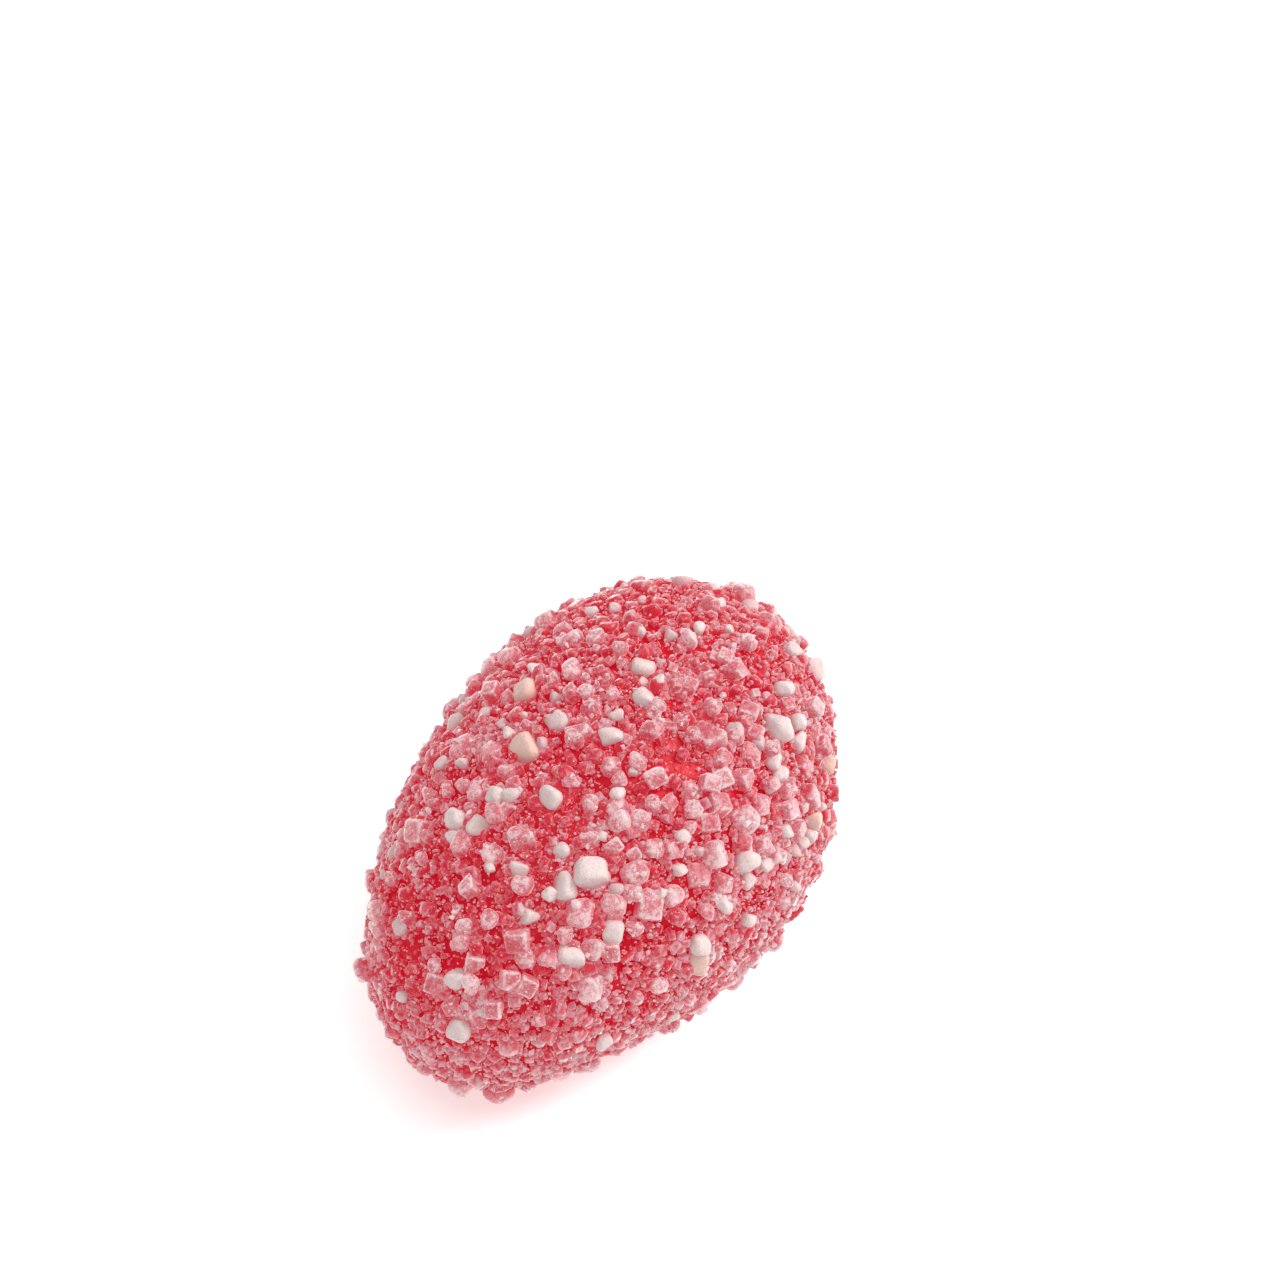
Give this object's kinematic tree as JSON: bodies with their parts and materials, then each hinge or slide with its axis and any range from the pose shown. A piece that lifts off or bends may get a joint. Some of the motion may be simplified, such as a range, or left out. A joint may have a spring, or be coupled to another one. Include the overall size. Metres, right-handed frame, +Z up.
{
  "type": "jelly egg",
  "caption": "Soft red jelly sweet moulded as an egg and coated all over in coarse sugar, lying on a small flat.",
  "frame": {"origin": "on the ground, under the middle of the egg's box", "axes": "+X along the egg towards its narrow end, +Y across it, +Z up from the flat that it lies on"},
  "size_m": [0.0282, 0.0196, 0.0162],
  "materials": {
    "sugared_jelly": "soft translucent red jelly, sticky gloss between the sugar",
    "clear_sugar": "granulated sugar crystals, clear to frosted, taking the red of the jelly",
    "white_sugar": "opaque white crumbs of sugar with a waxy sheen"
  },
  "bodies": {
    "root": {"jelly_egg": "sugared_jelly"}
  },
  "joints": []
}
